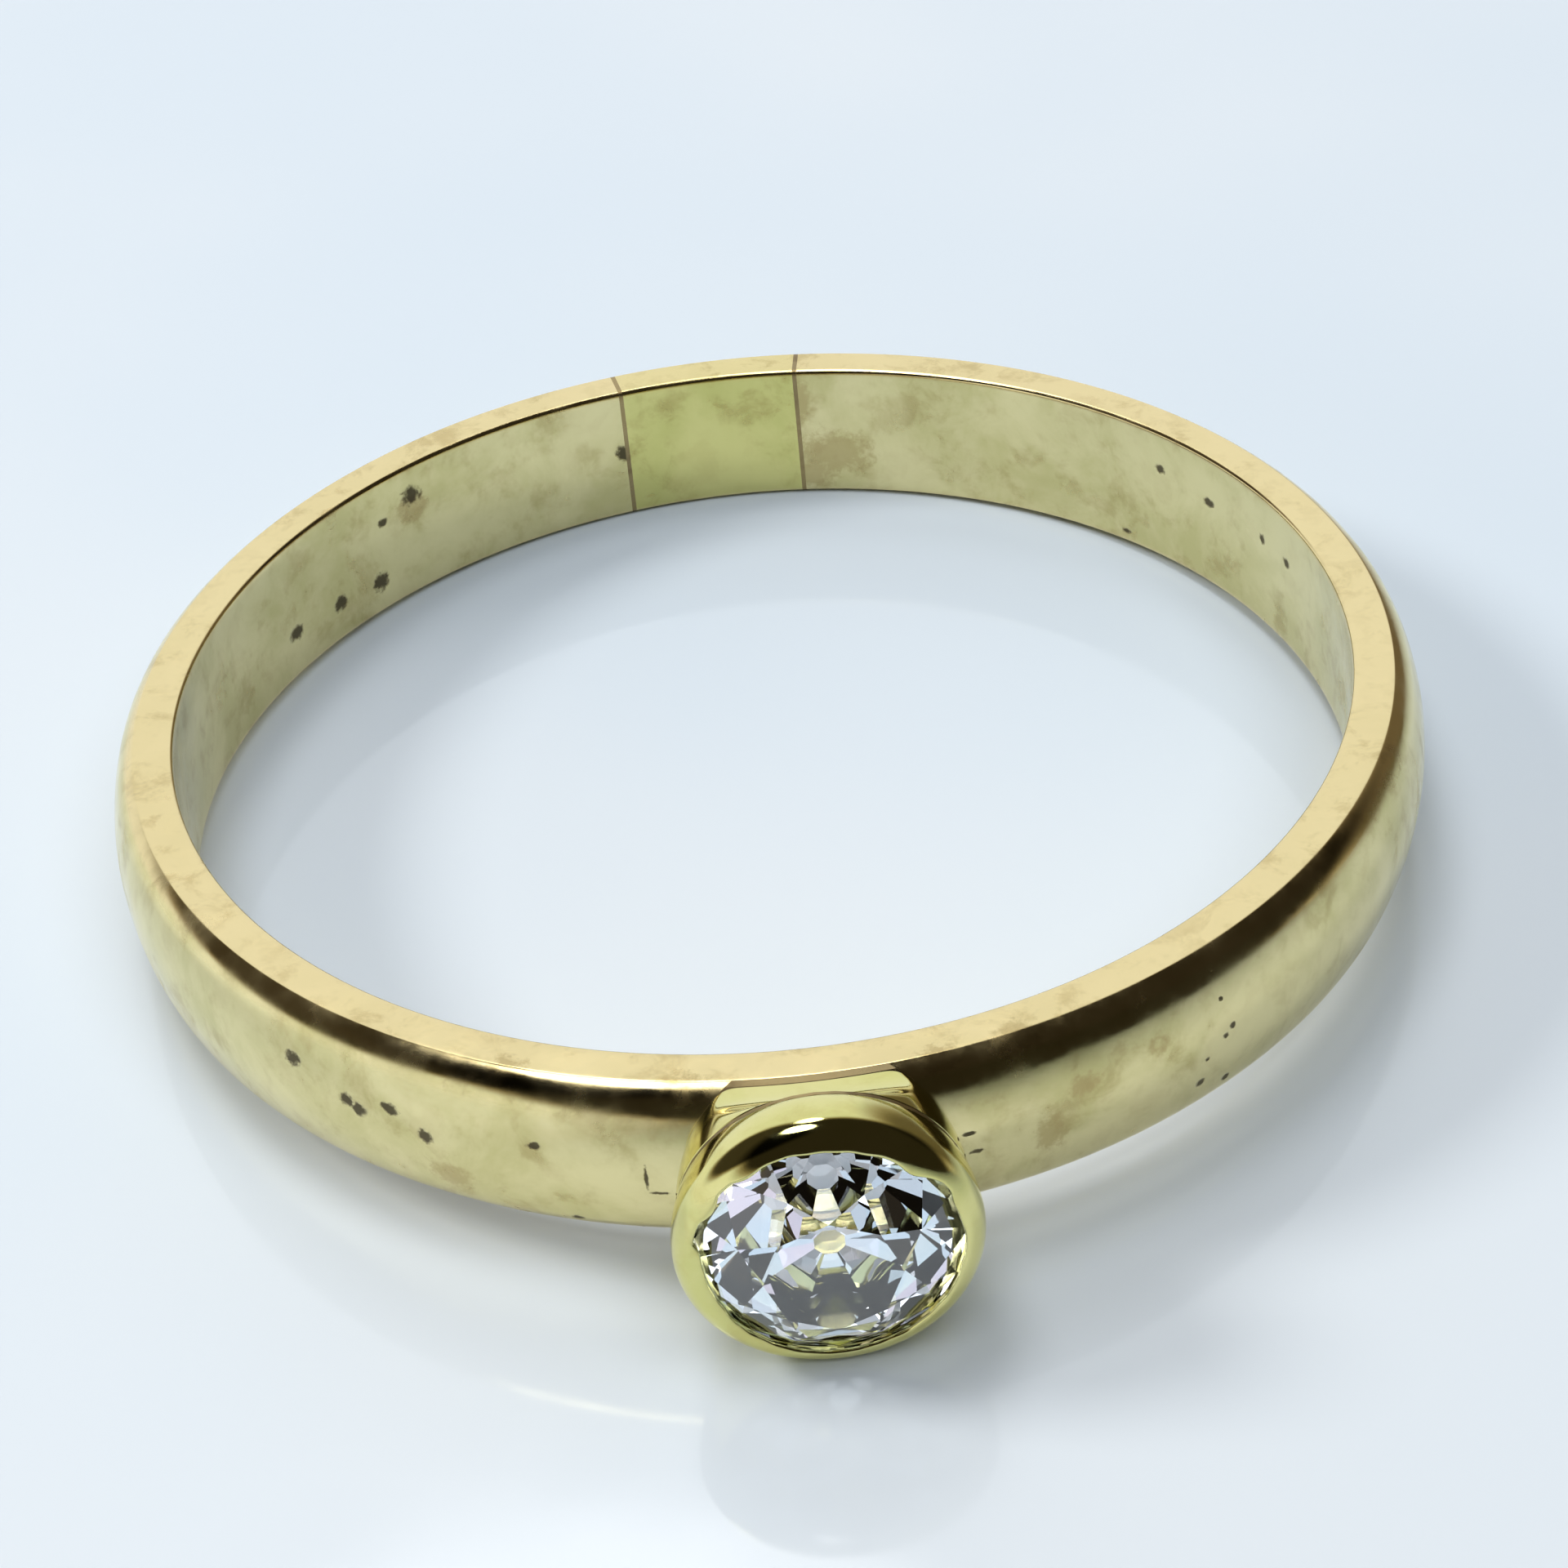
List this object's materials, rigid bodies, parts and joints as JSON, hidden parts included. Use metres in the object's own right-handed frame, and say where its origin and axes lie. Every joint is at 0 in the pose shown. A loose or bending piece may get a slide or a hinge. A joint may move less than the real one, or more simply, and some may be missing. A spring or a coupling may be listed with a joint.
{
  "type": "solitaire engagement ring",
  "caption": "Yellow-gold solitaire ring: a D-section band, a scooped collet and a rub-over bezel holding an old-cut diamond.",
  "frame": {"origin": "centre of the finger hole, half way across the band's width", "axes": "+Z along the finger hole's axis, -Y from the hole's centre out through the stone, +X completes a right-handed frame"},
  "size_m": [0.0194, 0.0213, 0.004],
  "materials": {
    "band_gold": "worn polish with brown patina and small pits",
    "insert_gold": "worn polish, a little greener than the band",
    "bezel_gold": "bright burnished polish",
    "gold_solder": "tarnished, satin",
    "diamond": "polished facets"
  },
  "bodies": {
    "root": {"shank": "band_gold", "sizing_insert": "insert_gold", "insert_solder_left": "gold_solder", "insert_solder_right": "gold_solder", "collet": "bezel_gold", "collet_solder": "gold_solder", "rim_solder": "gold_solder", "bearing_ring": "bezel_gold", "bezel_rim": "bezel_gold", "diamond": "diamond"}
  },
  "joints": []
}
